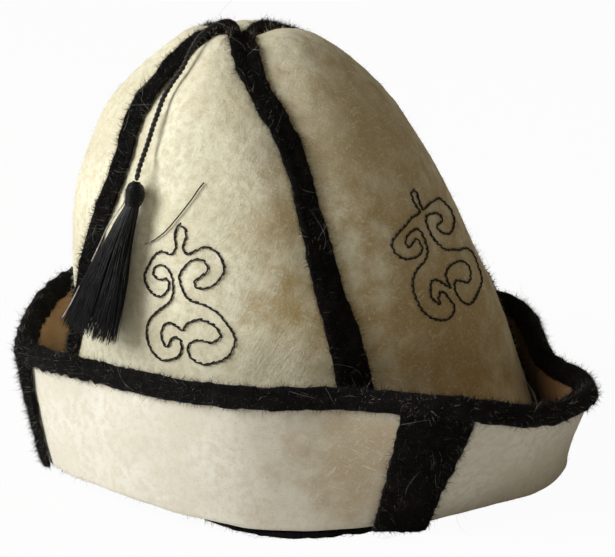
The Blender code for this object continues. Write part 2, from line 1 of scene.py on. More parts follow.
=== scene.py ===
"""Looks for the kalpak: its felt, pile, stitched scrolls, cord and tassel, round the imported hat."""
import math

import bpy
import numpy as np
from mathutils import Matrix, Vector
from mathutils.bvhtree import BVHTree


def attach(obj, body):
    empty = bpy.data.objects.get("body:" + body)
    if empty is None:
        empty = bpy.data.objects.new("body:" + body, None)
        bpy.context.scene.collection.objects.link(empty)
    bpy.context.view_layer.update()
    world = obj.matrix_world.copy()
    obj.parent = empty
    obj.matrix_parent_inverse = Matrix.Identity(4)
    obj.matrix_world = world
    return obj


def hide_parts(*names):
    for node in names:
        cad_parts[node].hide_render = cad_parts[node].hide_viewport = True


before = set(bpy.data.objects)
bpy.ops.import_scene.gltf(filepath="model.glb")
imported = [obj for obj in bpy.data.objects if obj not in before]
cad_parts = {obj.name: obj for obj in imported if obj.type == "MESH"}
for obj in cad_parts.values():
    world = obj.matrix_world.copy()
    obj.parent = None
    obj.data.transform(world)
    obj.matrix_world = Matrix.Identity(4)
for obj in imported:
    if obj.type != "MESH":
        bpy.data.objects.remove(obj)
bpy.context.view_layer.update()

# The middle of the head opening; azimuths are counted round it, in degrees from +X towards +Y
AXIS = Vector((0.004191, 0.0029118, 0.0))

SHOULDER = 0.08              # height over which the crown turns inwards
LEAST_HEIGHT = 0.0002        # no fibre reaches lower than this over the surface

GORES = ("front_left", "front_right", "back_right", "back_left")

# Camera
VIEW_AZIMUTH = -8.0
VIEW_ELEVATION = 16.0
VIEW_DISTANCE = 0.8
VIEW_HEIGHT = 0.095
PIXEL = 0.00041              # metres to a pixel at the target
IMAGE = (615, 557)
TARGET_PIXEL = (306, 233)    # where the target lies, from the left and from the top

# Light: one large lamp on the left, and a warm sky
LAMP_PLACE = (-1.64, -0.34, 0.98)
LAMP_AIM = (0.0, 0.0, 0.08)
LAMP_SIZE = 1.35
LAMP_POWER = 37.3
LAMP_COLOUR = (0.98, 0.985, 1.0)
SKY_COLOUR = (1.0, 0.86, 0.66, 1.0)
SKY_STRENGTH = 0.20
FLOOR_SIZE = 14.0
FLOOR_TONE = (0.78, 0.78, 0.78, 1.0)
FLOOR_GLOW = 0.96            # share of plain white in what the camera sees of the floor

# Cord and tassel
CORD_DIAMETER = 0.0021
CORD_STEP = 0.0006           # between two points of its line
STRAND_TURN = 0.0042         # length in which a strand winds once round the cord
STRAND_PLACE = 0.25          # from the cord's middle to a strand's, as a share of its diameter
STRAND_RADIUS = 0.27         # as a share of the cord's diameter
WINDING_TURNS = 16.0         # of the thread round the tassel's head
WINDING_RADIUS = 0.00030
TASSEL_THREADS = 520
TASSEL_LOCKS = 16
TASSEL_THREAD_RADIUS = 0.00018
CORD_ROUTE = (
    (-0.0275, -0.0060, 0.1745),
    (-0.0275, -0.0060, 0.1775),
    (-0.0278, -0.0063, 0.1805),
    (-0.0291, -0.0073, 0.1832),
    (-0.0317, -0.0093, 0.1849),
    (-0.0353, -0.0121, 0.1850),
    (-0.0396, -0.0155, 0.1836),
    (-0.0440, -0.0195, 0.1812),
    (-0.0479, -0.0232, 0.1764),
    (-0.0514, -0.0262, 0.1704),
    (-0.0558, -0.0274, 0.1646),
    (-0.0591, -0.0291, 0.1596),
    (-0.0615, -0.0320, 0.1545),
    (-0.0637, -0.0348, 0.1497),
    (-0.0657, -0.0376, 0.1447),
    (-0.0678, -0.0404, 0.1400),
    (-0.0695, -0.0422, 0.1360),
    (-0.0710, -0.0438, 0.1312),
)
HEAD = (
    # x, y, z, radius
    (-0.0669, -0.0413, 0.1306, 0.0012),
    (-0.0671, -0.0416, 0.1294, 0.0029),
    (-0.0674, -0.0420, 0.1275, 0.0039),
    (-0.0678, -0.0424, 0.1255, 0.0040),
    (-0.0683, -0.0427, 0.1235, 0.0036),
    (-0.0688, -0.0429, 0.1217, 0.0028),
    (-0.0691, -0.0431, 0.1203, 0.0023),
)
SKIRT = (
    # x, y, z, azimuth that it faces, half width, half depth
    (-0.0681, -0.0426, 0.1247, -130.0, 0.0020, 0.0020),
    (-0.0693, -0.0431, 0.1205, -129.5, 0.0031, 0.0028),
    (-0.0712, -0.0433, 0.1161, -128.5, 0.0041, 0.0035),
    (-0.0737, -0.0436, 0.1095, -128.7, 0.0053, 0.0041),
    (-0.0767, -0.0435, 0.1014, -131.9, 0.0076, 0.0043),
    (-0.0796, -0.0430, 0.0929, -136.8, 0.0103, 0.0043),
    (-0.0826, -0.0411, 0.0837, -141.1, 0.0128, 0.0041),
    (-0.0853, -0.0382, 0.0750, -144.8, 0.0156, 0.0038),
    (-0.0870, -0.0359, 0.0700, -146.9, 0.0174, 0.0035),
)

# The ram's-horn outline that is stitched on each gore, from its tip down each side to the point
# between its lower curls, as shares of SCROLL_HALF_WIDTH and SCROLL_HALF_HEIGHT
SCROLL_HALF_WIDTH = 0.0190
SCROLL_HALF_HEIGHT = 0.0272
STITCH_RADIUS = 0.00038
STITCH_LENGTH = 0.0027
STITCH_PITCH = 0.0017
STITCH_SLANT = 0.00036       # how far each end of a stitch lies beside the line
STITCH_SWAY = 0.00025        # how far the hand-sewn line strays from its chart
CHART_STEP = 0.0003
SCROLL_LEFT = (
    # across, up
    (-0.07, 0.99),
    (-0.14, 0.94),
    (-0.17, 0.83),
    (-0.15, 0.72),
    (-0.17, 0.64),
    (-0.27, 0.56),
    (-0.49, 0.56),
    (-0.67, 0.48),
    (-0.81, 0.36),
    (-0.88, 0.21),
    (-0.84, 0.08),
    (-0.73, -0.01),
    (-0.54, -0.05),
    (-0.37, -0.01),
    (-0.29, 0.07),
    (-0.29, 0.16),
    (-0.37, 0.20),
    (-0.53, 0.16),
    (-0.66, 0.22),
    (-0.66, 0.32),
    (-0.56, 0.39),
    (-0.42, 0.39),
    (-0.30, 0.31),
    (-0.19, 0.19),
    (-0.16, 0.05),
    (-0.22, -0.09),
    (-0.36, -0.20),
    (-0.57, -0.30),
    (-0.71, -0.40),
    (-0.81, -0.55),
    (-0.81, -0.71),
    (-0.72, -0.84),
    (-0.53, -0.94),
    (-0.31, -0.96),
    (-0.11, -0.91),
    (0.00, -0.80),
    (-0.02, -0.68),
    (-0.14, -0.63),
    (-0.23, -0.65),
    (-0.33, -0.76),
    (-0.43, -0.69),
    (-0.45, -0.58),
    (-0.36, -0.46),
    (-0.21, -0.41),
    (-0.06, -0.46),
    (0.05, -0.52),
)
SCROLL_RIGHT = (
    (-0.07, 0.99),
    (0.01, 0.96),
    (0.04, 0.85),
    (-0.00, 0.75),
    (0.00, 0.66),
    (0.08, 0.60),
    (0.21, 0.63),
    (0.41, 0.70),
    (0.62, 0.68),
    (0.78, 0.58),
    (0.86, 0.43),
    (0.81, 0.29),
    (0.69, 0.19),
    (0.54, 0.15),
    (0.38, 0.16),
    (0.31, 0.23),
    (0.35, 0.27),
    (0.49, 0.35),
    (0.57, 0.41),
    (0.51, 0.49),
    (0.39, 0.52),
    (0.22, 0.51),
    (0.07, 0.43),
    (-0.04, 0.30),
    (-0.03, 0.18),
    (0.03, 0.06),
    (0.19, -0.04),
    (0.39, -0.08),
    (0.63, -0.12),
    (0.85, -0.21),
    (1.02, -0.34),
    (1.14, -0.51),
    (1.15, -0.62),
    (1.06, -0.76),
    (0.85, -0.88),
    (0.59, -0.95),
    (0.37, -0.92),
    (0.20, -0.82),
    (0.18, -0.70),
    (0.31, -0.61),
    (0.54, -0.62),
    (0.69, -0.62),
    (0.85, -0.49),
    (0.74, -0.38),
    (0.58, -0.32),
    (0.40, -0.30),
    (0.19, -0.37),
    (0.09, -0.45),
    (0.05, -0.52),
)
# The same outline on the front right gore, which leans
LEANING_LEFT = (
    (-0.05, 0.90),
    (-0.21, 0.86),
    (-0.20, 0.72),
    (-0.12, 0.61),
    (-0.19, 0.56),
    (-0.48, 0.52),
    (-0.78, 0.45),
    (-1.00, 0.36),
    (-1.12, 0.28),
    (-1.12, 0.19),
    (-1.01, 0.08),
    (-0.84, -0.00),
    (-0.66, -0.02),
    (-0.48, 0.01),
    (-0.36, 0.09),
    (-0.39, 0.20),
    (-0.48, 0.24),
    (-0.62, 0.18),
    (-0.73, 0.16),
    (-0.78, 0.22),
    (-0.77, 0.29),
    (-0.65, 0.35),
    (-0.45, 0.37),
    (-0.31, 0.34),
    (-0.20, 0.22),
    (-0.17, 0.09),
    (-0.21, -0.00),
    (-0.36, -0.11),
    (-0.56, -0.17),
    (-0.75, -0.24),
    (-0.88, -0.36),
    (-0.89, -0.50),
    (-0.85, -0.63),
    (-0.73, -0.78),
    (-0.57, -0.91),
    (-0.35, -0.99),
    (-0.10, -1.01),
    (0.14, -0.94),
    (0.21, -0.85),
    (0.12, -0.74),
    (0.01, -0.64),
    (-0.11, -0.62),
    (-0.23, -0.69),
    (-0.25, -0.79),
    (-0.37, -0.74),
    (-0.46, -0.62),
    (-0.40, -0.50),
    (-0.29, -0.41),
    (-0.14, -0.43),
    (0.03, -0.52),
    (0.22, -0.63),
)
LEANING_RIGHT = (
    (-0.05, 0.90),
    (-0.00, 0.86),
    (-0.01, 0.73),
    (-0.01, 0.63),
    (0.04, 0.59),
    (0.17, 0.60),
    (0.40, 0.65),
    (0.76, 0.66),
    (0.99, 0.59),
    (1.22, 0.47),
    (1.27, 0.31),
    (1.13, 0.21),
    (0.83, 0.14),
    (0.57, 0.16),
    (0.41, 0.24),
    (0.37, 0.31),
    (0.52, 0.32),
    (0.64, 0.34),
    (0.64, 0.41),
    (0.48, 0.48),
    (0.26, 0.51),
    (0.08, 0.47),
    (0.02, 0.36),
    (0.06, 0.24),
    (0.17, 0.11),
    (0.38, -0.06),
    (0.69, -0.11),
    (1.09, -0.15),
    (1.54, -0.22),
    (1.78, -0.34),
    (1.81, -0.50),
    (1.74, -0.64),
    (1.58, -0.76),
    (1.21, -0.87),
    (0.90, -0.93),
    (0.66, -0.93),
    (0.49, -0.85),
    (0.35, -0.70),
    (0.37, -0.59),
    (0.51, -0.54),
    (0.71, -0.59),
    (0.92, -0.64),
    (1.15, -0.60),
    (1.24, -0.47),
    (1.13, -0.38),
    (0.83, -0.31),
    (0.46, -0.32),
    (0.22, -0.38),
    (0.18, -0.47),
    (0.22, -0.63),
)
SCROLL_PLACES = (
    # gore, azimuth, height, left and right side of the outline
    ("front_left", -133.0, 0.0897, SCROLL_LEFT, SCROLL_RIGHT),
    ("front_right", -46.5, 0.0995, LEANING_LEFT, LEANING_RIGHT),
    ("back_right", 58.0, 0.0937, SCROLL_LEFT, SCROLL_RIGHT),
    ("back_left", 155.0, 0.0937, SCROLL_LEFT, SCROLL_RIGHT),
)

# Lumps of a rough surface, large and then small: their size and their whole depth
CROWN_LUMPS = ((0.030, 0.0014), (0.006, 0.0006))
BRIM_LUMPS = ((0.025, 0.0012),)
PILE_LUMPS = ((0.0090, 0.0016), (0.0026, 0.0014))
KNOT_LUMPS = ((0.0026, 0.0010),)
FACING_LUMPS = ((0.012, 0.0006),)

# Kinds of fibre: mean length, width, how far they lean over, how much they curl
CROWN_FUZZ = (0.0012, 0.00007, 1.6, 1.0)
BRIM_FUZZ = (0.0007, 0.00006, 1.6, 1.0)
EDGE_WOOL = (0.0021, 0.00006, 0.7, 1.4)
TUFTS = (0.0013, 0.00015, 1.1, 1.4)
STRAYS = (0.0026, 0.00006, 2.2, 1.6)
STRAY_DENSITY = 0.09         # to a square millimetre

FELTS = (
    # kind of felt, node and piece before the gore's name, lumps, fibres to a square millimetre, their kind
    ("crown", "crown_gore_", "felt_gore_", CROWN_LUMPS, 0.30, CROWN_FUZZ),
    ("brim", "brim_panel_", "felt_brim_", BRIM_LUMPS, 0.25, BRIM_FUZZ),
)
FELT_ROUNDING = 3
PILE = (
    # node, levels of rounding, crease of its edges, tufts to a square millimetre,
    # whether they stand only on the side away from the head, white hairs
    ("crown_band_left", 3, 0.20, 5.0, True, 27),
    ("crown_band_front", 3, 0.20, 5.0, True, 27),
    ("crown_band_right", 3, 0.20, 5.0, True, 9),
    ("crown_band_back", 3, 0.20, 5.0, True, 9),
    ("brim_band_left", 3, 0.60, 5.0, True, 5),
    ("brim_band_front", 3, 0.60, 5.0, True, 5),
    ("brim_band_right", 3, 0.60, 5.0, True, 5),
    ("brim_band_back", 3, 0.60, 5.0, True, 5),
    ("rim_binding", 2, 0.35, 1.75, False, 45),
    ("hem_binding", 2, 0.35, 2.0, True, 6),
)

# Fibres of the felt that lie over the pile: how many to a square millimetre, how far from the pile
EDGE_DENSITY = 1.6
EDGE_REACH = 0.0016
EDGE_CLEARANCE = 0.0002

# Wrinkles of the rim at the left: azimuth of their middle, reach and pitch in degrees, depth
RIM_WRINKLES = (180.0, 34.0, 3.4, 0.0007)

# How far the ends of the brim's bands are drawn up under the binding and down to the hem
BAND_TUCK = (0.0030, 0.0022)

# The black pile knot that fills the opening at the crown's top, round the cord
KNOT_PLACE = (-0.0228, -0.0026, 0.1778)
KNOT_BLOCK = 0.0101          # side of the block that is rounded to a knot 8.6 mm across
KNOT_ROUNDING = 4
KNOT_FLATNESS = 0.38
KNOT_DENSITY = 5.0           # tufts to a square millimetre

# The hem shows below the brim round this azimuth; elsewhere it is sunk into the brim's felt
HEM_SHOWS_AT = -104.5
HEM_SHOWS_REACH = 22.0
HEM_FADE = 5.0
HEM_SPREAD = 0.0022

# The soft fold in the front left gore, beside the cord, with its depth at each point
FOLD = (
    # x, y, z, depth
    (-0.0459, -0.0155, 0.1709, 0.0002),
    (-0.0533, -0.0214, 0.1612, 0.0011),
    (-0.0571, -0.0325, 0.1495, 0.0015),
    (-0.0620, -0.0335, 0.1410, 0.0016),
    (-0.0613, -0.0411, 0.1294, 0.0016),
    (-0.0602, -0.0438, 0.1247, 0.0020),
    (-0.0623, -0.0436, 0.1178, 0.0022),
    (-0.0634, -0.0443, 0.1089, 0.0014),
    (-0.0640, -0.0450, 0.1000, 0.0003),
)
FOLD_REACH = 0.0042
FOLD_STEP = 0.0012
FOLD_FROM = 0.06             # height of the point that the felt is pressed towards

# A loose end of sewing thread on the front left gore, and pale ones over the tassel
LOOSE_RADIUS = 0.00027
LOOSE_LIFT = 0.0008          # over the felt
LOOSE_DARK_SHARE = 0.88      # of the thread's length, from its upper end
LOOSE_STEP = 0.0010
PALE_RADIUS = 0.00028
LOOSE_THREAD = (
    (-0.0421, -0.0532, 0.1324),
    (-0.0449, -0.0536, 0.1292),
    (-0.0476, -0.0534, 0.1252),
    (-0.0521, -0.0520, 0.1188),
    (-0.0566, -0.0504, 0.1133),
    (-0.0606, -0.0474, 0.1092),
    (-0.0644, -0.0439, 0.1067),
)
PALE_THREADS = (
    (
        (-0.0714, -0.0459, 0.1291),
        (-0.0715, -0.0470, 0.1271),
        (-0.0721, -0.0473, 0.1240),
        (-0.0743, -0.0473, 0.1210),
        (-0.0766, -0.0474, 0.1179),
        (-0.0790, -0.0472, 0.1137),
        (-0.0815, -0.0468, 0.1083),
        (-0.0833, -0.0462, 0.1043),
        (-0.0848, -0.0458, 0.1012),
    ),
    (
        (-0.0895, -0.0372, 0.0889),
        (-0.0907, -0.0362, 0.0861),
        (-0.0925, -0.0336, 0.0817),
        (-0.0944, -0.0304, 0.0773),
        (-0.0964, -0.0276, 0.0732),
    ),
)


def smooth_line(points, spacing):
    """A smooth line through the points, with a point at about every spacing."""
    points = [Vector(point) for point in points]
    made = [points[0]]
    for k in range(len(points) - 1):
        before = points[max(0, k - 1)]
        start, end = points[k], points[k + 1]
        after = points[min(len(points) - 1, k + 2)]
        count = max(1, round((end - start).length / spacing))
        for step in range(1, count + 1):
            share = step / count
            made.append(
                0.5 * (
                    2.0 * start
                    + (end - before) * share
                    + (2.0 * before - 5.0 * start + 4.0 * end - after) * share ** 2
                    + (3.0 * start - before - 3.0 * end + after) * share ** 3
                )
            )
    return made


def sides_along(points):
    """Two directions square to the line at each of its points, carried along it without a twist."""
    count = len(points)
    ways = [(points[min(count - 1, k + 1)] - points[max(0, k - 1)]).normalized() for k in range(count)]
    side = ways[0].orthogonal().normalized()
    made = []
    for way in ways:
        side = (side - way * side.dot(way)).normalized()
        made.append((side, way.cross(side)))
    return made


def wound_round(points, radius, pitch, start):
    """A line that winds round another at a radius, once for each pitch."""
    made = []
    run = 0.0
    sides = sides_along(points)
    for k, (side, other) in enumerate(sides):
        if k:
            run += (points[k] - points[k - 1]).length
        turn = start + math.tau * run / pitch
        made.append(points[k] + (side * math.cos(turn) + other * math.sin(turn)) * radius)
    return made


class Tubes:
    """Round threads, collected into one mesh."""

    def __init__(self):
        self.points = []
        self.faces = []

    def add(self, line, radius, corners=5, taper=0.0):
        """A closed tube along a line; taper narrows its last third to that share less."""
        first = len(self.points)
        last = len(line) - 1
        for k, (side, other) in enumerate(sides_along(line)):
            thin = 1.0 - taper * max(0.0, 3.0 * k / last - 2.0)
            for corner in range(corners):
                turn = math.tau * corner / corners
                around = side * math.cos(turn) + other * math.sin(turn)
                self.points.append(line[k] + around * (radius * thin))
        for k in range(last):
            for corner in range(corners):
                a = first + k * corners + corner
                b = first + k * corners + (corner + 1) % corners
                self.faces.append((a, b, b + corners, a + corners))
        self.faces.append(tuple(first + corner for corner in reversed(range(corners))))
        self.faces.append(tuple(first + last * corners + corner for corner in range(corners)))

    def mesh(self, name):
        """The threads as one object."""
        data = bpy.data.meshes.new(name)
        data.from_pydata(self.points, [], self.faces)
        data.shade_smooth()
        piece = bpy.data.objects.new(name, data)
        bpy.context.collection.objects.link(piece)
        return piece


def alone(piece):
    """Makes a piece the only selected one, and the active one."""
    bpy.ops.object.select_all(action="DESELECT")
    piece.select_set(True)
    bpy.context.view_layer.objects.active = piece


def finish_piece(piece, material, slot, *nodes):
    """Gives a piece its material, puts it on the hat, and hides the nodes that it replaces; the slot is not
    used.
    """
    piece.data.materials.clear()
    piece.data.materials.append(material)
    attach(piece, "root")
    if nodes:
        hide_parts(*nodes)


def rounded(piece, levels):
    """Rounds the active piece by subdividing it."""
    rounding = piece.modifiers.new("rounding", "SUBSURF")
    rounding.levels = levels
    rounding.render_levels = levels
    bpy.ops.object.modifier_apply(modifier=rounding.name)
    piece.data.shade_smooth()


def soft_copy(node, name, levels, crease=0.7):
    """A rounded copy of a CAD node's solid, in quads, with its wall's edges kept crisp."""
    piece = bpy.data.objects.new(name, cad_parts[node].data.copy())
    bpy.context.collection.objects.link(piece)
    alone(piece)
    bpy.ops.mesh.customdata_custom_splitnormals_clear()
    bpy.ops.object.mode_set(mode="EDIT")
    bpy.ops.mesh.select_all(action="SELECT")
    bpy.ops.mesh.remove_doubles(threshold=0.00001)
    bpy.ops.mesh.tris_convert_to_quads(face_threshold=math.radians(60), shape_threshold=math.radians(60))
    bpy.ops.mesh.select_all(action="DESELECT")
    bpy.ops.mesh.select_mode(type="EDGE")
    bpy.ops.mesh.edges_select_sharp(sharpness=math.radians(50))
    bpy.ops.transform.edge_crease(value=crease)
    bpy.ops.mesh.select_mode(type="VERT")
    bpy.ops.object.mode_set(mode="OBJECT")
    rounded(piece, levels)
    return piece


def roughen(piece, lumps):
    """Moves a piece's surface in and out by half of each depth, but never below the floor."""
    for size, depth in lumps:
        pattern = bpy.data.textures.new(piece.name + "_lumps", "CLOUDS")
        pattern.noise_scale = size
        pattern.noise_depth = 2
        alone(piece)
        moved = piece.modifiers.new("lumps", "DISPLACE")
        moved.texture = pattern
        moved.texture_coords = "LOCAL"
        moved.strength = depth
        moved.mid_level = 0.5
        bpy.ops.object.modifier_apply(modifier=moved.name)
        places, _ = read_points(piece)
        places[:, 2] = np.maximum(places[:, 2], 0.0)
        write_points(piece, places)


def read_points(piece):
    """The places and normals of a piece's vertices, as arrays."""
    made = []
    for name in ("co", "normal"):
        values = np.empty(len(piece.data.vertices) * 3)
        piece.data.vertices.foreach_get(name, values)
        made.append(values.reshape(-1, 3))
    return made


def write_points(piece, places):
    """Puts a piece's vertices at the places in an array."""
    piece.data.vertices.foreach_set("co", places.reshape(-1))
    piece.data.update()


def along_rows(rows, count):
    """The last numbers of the rows, spread evenly over a count of points."""
    return np.interp(np.linspace(0, len(rows) - 1, count), range(len(rows)), [row[-1] for row in rows])


def press_fold(piece):
    """Presses the soft fold beside the cord into the felt."""
    places, _ = read_points(piece)
    line = np.array(smooth_line([row[:3] for row in FOLD], FOLD_STEP))
    depths = along_rows(FOLD, len(line))
    away = np.linalg.norm(places[:, None] - line[None], axis=2)
    nearest = away.argmin(axis=1)
    least = away.min(axis=1)
    depth = depths[nearest] * np.exp(-(least / FOLD_REACH) ** 2)
    out = unit(places - np.array([AXIS.x, AXIS.y, FOLD_FROM]))
    write_points(piece, places - out * depth[:, None])


def wrinkle(piece, middle, reach, pitch, depth):
    """Draws a ring of pile into crosswise wrinkles for some degrees on each side of an azimuth."""
    places, normals = read_points(piece)
    azimuth = np.degrees(np.arctan2(places[:, 1] - AXIS.y, places[:, 0] - AXIS.x))
    turn = (azimuth - middle + 180.0) % 360.0 - 180.0
    fade = np.exp(-(turn / reach) ** 4)
    wave = np.sin(math.tau * turn / pitch + 1.3 * np.sin(turn * 0.37))
    write_points(piece, places + normals * (depth * fade * wave)[:, None])


def tuck_ends(piece, above, below):
    """Draws a strip's ends up under the binding over it and down to the hem under it."""
    places, _ = read_points(piece)
    low, high = places[:, 2].min(), places[:, 2].max()
    share = (places[:, 2] - low) / (high - low)
    places[:, 2] += above * np.clip((share - 0.8) / 0.2, 0.0, 1.0)
    places[:, 2] -= below * np.clip((0.2 - share) / 0.2, 0.0, 1.0)
    write_points(piece, places)


def sink_hem(piece):
    """Pushes the hem's outer side into the brim's felt, except in front, where it shows below the brim."""
    places, normals = read_points(piece)
    away = places - np.array([AXIS.x, AXIS.y, 0.0])
    away[:, 2] = 0.0
    out = unit(away)
    azimuth = np.degrees(np.arctan2(away[:, 1], away[:, 0]))
    hidden = np.clip((np.abs(azimuth - HEM_SHOWS_AT) - HEM_SHOWS_REACH) / HEM_FADE, 0.0, 1.0)
    outward = np.clip((normals * out).sum(axis=1), 0.0, 1.0)
    write_points(piece, places + out * (HEM_SPREAD * hidden * outward)[:, None])


def surface_tree(piece):
    """A search tree of a piece's faces."""
    mesh = piece.data
    return BVHTree.FromPolygons([v.co for v in mesh.vertices], [p.vertices for p in mesh.polygons])


def spread_over(piece, each_square_millimetre, chance, outside=True):
    """Points spread evenly over a mesh, or over its side away from the head, with their normals."""
    mesh = piece.data
    mesh.calc_loop_triangles()
    places, _ = read_points(piece)
    corners = np.empty(len(mesh.loop_triangles) * 3, dtype=np.int64)
    mesh.loop_triangles.foreach_get("vertices", corners)
    a, b, c = (places[corners.reshape(-1, 3)[:, k]] for k in range(3))
    cross = np.cross(b - a, c - a)
    doubled = np.linalg.norm(cross, axis=1)
    count = int(0.5e6 * doubled.sum() * each_square_millimetre)
    picked = chance.choice(len(a), size=count, p=doubled / doubled.sum())
    u, v = chance.random((2, count))
    over = u + v > 1.0
    u[over], v[over] = 1.0 - u[over], 1.0 - v[over]
    points = a[picked] + (b - a)[picked] * u[:, None] + (c - a)[picked] * v[:, None]
    normals = cross[picked] / np.maximum(doubled[picked], 1e-12)[:, None]
    if outside:
        away = points - np.array([AXIS.x, AXIS.y, 0.0])
        away[:, 2] = np.maximum(0.0, points[:, 2] - SHOULDER)
        kept = (unit(away) * normals).sum(axis=1) > -0.1
        return points[kept], normals[kept]
    return points, normals


def unit(rows):
    """Rows of an array made one long."""
    return rows / np.maximum(np.linalg.norm(rows, axis=1), 1e-12)[:, None]


def hairs(name, roots, normals, chance, length, width, lean, curl):
    """Fine flat hairs with bent tips, as one mesh object; length is the mean, in metres."""
    count = len(roots)
    along = unit(normals + lean * chance.normal(size=(count, 3)))
    bent = curl * chance.normal(size=(count, 3))
    across = unit(np.cross(along, chance.normal(size=(count, 3)))) * (0.5 * width)
    long = (length * chance.uniform(0.5, 1.5, count))[:, None]
    middle = roots + along * long * 0.5 + bent * long * 0.12
    tip = roots + along * long + bent * long * 0.5
    narrowed = across * 0.8
    points = np.stack([roots - across, roots + across, middle + narrowed, middle - narrowed, tip], axis=1)
    points[:, :, 2] = np.maximum(points[:, :, 2], LEAST_HEIGHT)
    first = 5 * np.arange(count)[:, None]
    quads = first + np.array([0, 1, 2, 3])
    ends = first + np.array([3, 2, 4])
    data = bpy.data.meshes.new(name)
    data.from_pydata(points.reshape(-1, 3).tolist(), [], quads.tolist() + ends.tolist())
    piece = bpy.data.objects.new(name, data)
    bpy.context.collection.objects.link(piece)
    return piece


def lay_lint(tubes, piece, count, chance, long=0.008, radius=0.000028):
    """Adds pale stray hairs that lie in loose curves over a piece."""
    points, normals = spread_over(piece, 0.5, chance)
    for k in chance.choice(len(points), size=count, replace=False):
        root, out = Vector(points[k]), Vector(normals[k])
        way = out.cross(Vector(chance.normal(size=3))).normalized()
        side = out.cross(way)
        reach = long * chance.uniform(0.4, 1.6)
        bend = chance.uniform(-0.7, 0.7)
        line = [
            root + out * (0.0012 + 0.0008 * math.sin(math.pi * share)) + way * (reach * share)
            + side * (reach * bend * share * share * 2.0)
            for share in (0.0, 0.2, 0.4, 0.6, 0.8, 1.0)
        ]
        for point in line:
            point.z = max(point.z, LEAST_HEIGHT)
        tubes.add(smooth_line(line, 0.0012), radius, 3, 0.5)


def joined(piece, *others):
    """The others joined into a piece."""
    bpy.ops.object.select_all(action="DESELECT")
    for other in others:
        other.select_set(True)
    piece.select_set(True)
    bpy.context.view_layer.objects.active = piece
    bpy.ops.object.join()
    return piece


def socket(group, name, way, kind="NodeSocketFloat", default=None):
    """A named input or output of a shader node group."""
    made = group.interface.new_socket(name=name, in_out=way, socket_type=kind)
    if default is not None:
        made.default_value = default
    return made


class Nodes:
    """Nodes of one tree, made and joined in short calls."""

    def __init__(self, tree):
        self.tree = tree

    def add(self, kind, **sockets):
        """A node; a value sets its property or input of that name, and an output is joined to the input."""
        node = self.tree.nodes.new("ShaderNode" + kind)
        for name, value in sockets.items():
            if hasattr(node, name) and not name[0].isupper():
                setattr(node, name, value)
        for name, value in sockets.items():
            if name[0].isupper() or name[0] == "_":
                key = int(name[1:]) if name[0] == "_" else name.replace("_", " ")
                if isinstance(value, bpy.types.NodeSocket):
                    self.tree.links.new(value, node.inputs[key])
                else:
                    node.inputs[key].default_value = value
        return node

    def place(self):
        """The place on the piece."""
        return self.add("TexCoord").outputs["Object"]

    def noise(self, scale, detail=3.0, vector=None, distortion=0.0):
        """Cloudy noise from 0 to 1; scale is in lumps to the metre."""
        made = self.add("TexNoise", Detail=detail, Distortion=distortion)
        if isinstance(scale, bpy.types.NodeSocket):
            self.tree.links.new(scale, made.inputs["Scale"])
        else:
            made.inputs["Scale"].default_value = scale
        self.tree.links.new(vector or self.place(), made.inputs["Vector"])
        return made.outputs["Fac"]

    def ramp(self, value, low, high, to_low=0.0, to_high=1.0):
        """A value stretched from one range to another, and held inside it."""
        made = self.add("MapRange", Value=value, From_Min=low, From_Max=high, To_Min=to_low, To_Max=to_high)
        return made.outputs["Result"]

    def math(self, operation, a, b=0.0):
        """One sum of two values."""
        return self.add("Math", operation=operation, _0=a, _1=b).outputs[0]

    def blend(self, share, a, b):
        """A colour between two, by a share."""
        node = self.tree.nodes.new("ShaderNodeMix")
        node.data_type = "RGBA"
        for key, value in ((0, share), (6, a), (7, b)):
            if isinstance(value, bpy.types.NodeSocket):
                self.tree.links.new(value, node.inputs[key])
            else:
                node.inputs[key].default_value = value if key == 0 else (*value, 1.0)
        return node.outputs[2]


def new_material(name, roughness, **constants):
    """A material with its Principled shader; constants are set on the shader's own sockets."""
    material = bpy.data.materials.new(name)
    material.use_nodes = True
    shader = material.node_tree.nodes["Principled BSDF"]
    shader.inputs["Roughness"].default_value = roughness
    for key, value in constants.items():
        shader.inputs[key.replace("_", " ")].default_value = value
    return material, shader, Nodes(material.node_tree)


# Which way the fibres of the nap lie: turns about X, Y and Z
NAP_TURNS = ((0.0, 0.5, 0.0), (0.9, 1.5, 0.3), (2.1, -0.7, 1.2), (1.4, 2.4, -0.8))
NAP_STRETCH = 7.0


def nap_group():
    """Fine felted fibres lying in all directions: a mask of the light ones and a height for bump."""
    group = bpy.data.node_groups.new("felt_nap", "ShaderNodeTree")
    socket(group, "Size", "INPUT", default=0.001)
    socket(group, "Strokes", "OUTPUT")
    socket(group, "Height", "OUTPUT")
    nodes = Nodes(group)
    start = group.nodes.new("NodeGroupInput")
    end = group.nodes.new("NodeGroupOutput")
    scale = nodes.math("DIVIDE", 1.0, start.outputs["Size"])
    strokes, total = None, None
    for turns in NAP_TURNS:
        turned = nodes.add(
            "Mapping", vector_type="TEXTURE",
            Vector=nodes.place(), Rotation=turns, Scale=(1.0, 1.0, NAP_STRETCH),
        )
        layer = nodes.noise(scale, 2.0, turned.outputs[0], 1.2)
        strokes = nodes.math("MAXIMUM", strokes, layer) if strokes else layer
        total = nodes.math("ADD", total, layer) if total else layer
    group.links.new(nodes.ramp(strokes, 0.60, 0.76), end.inputs["Strokes"])
    group.links.new(nodes.math("DIVIDE", total, float(len(NAP_TURNS))), end.inputs["Height"])
    return group


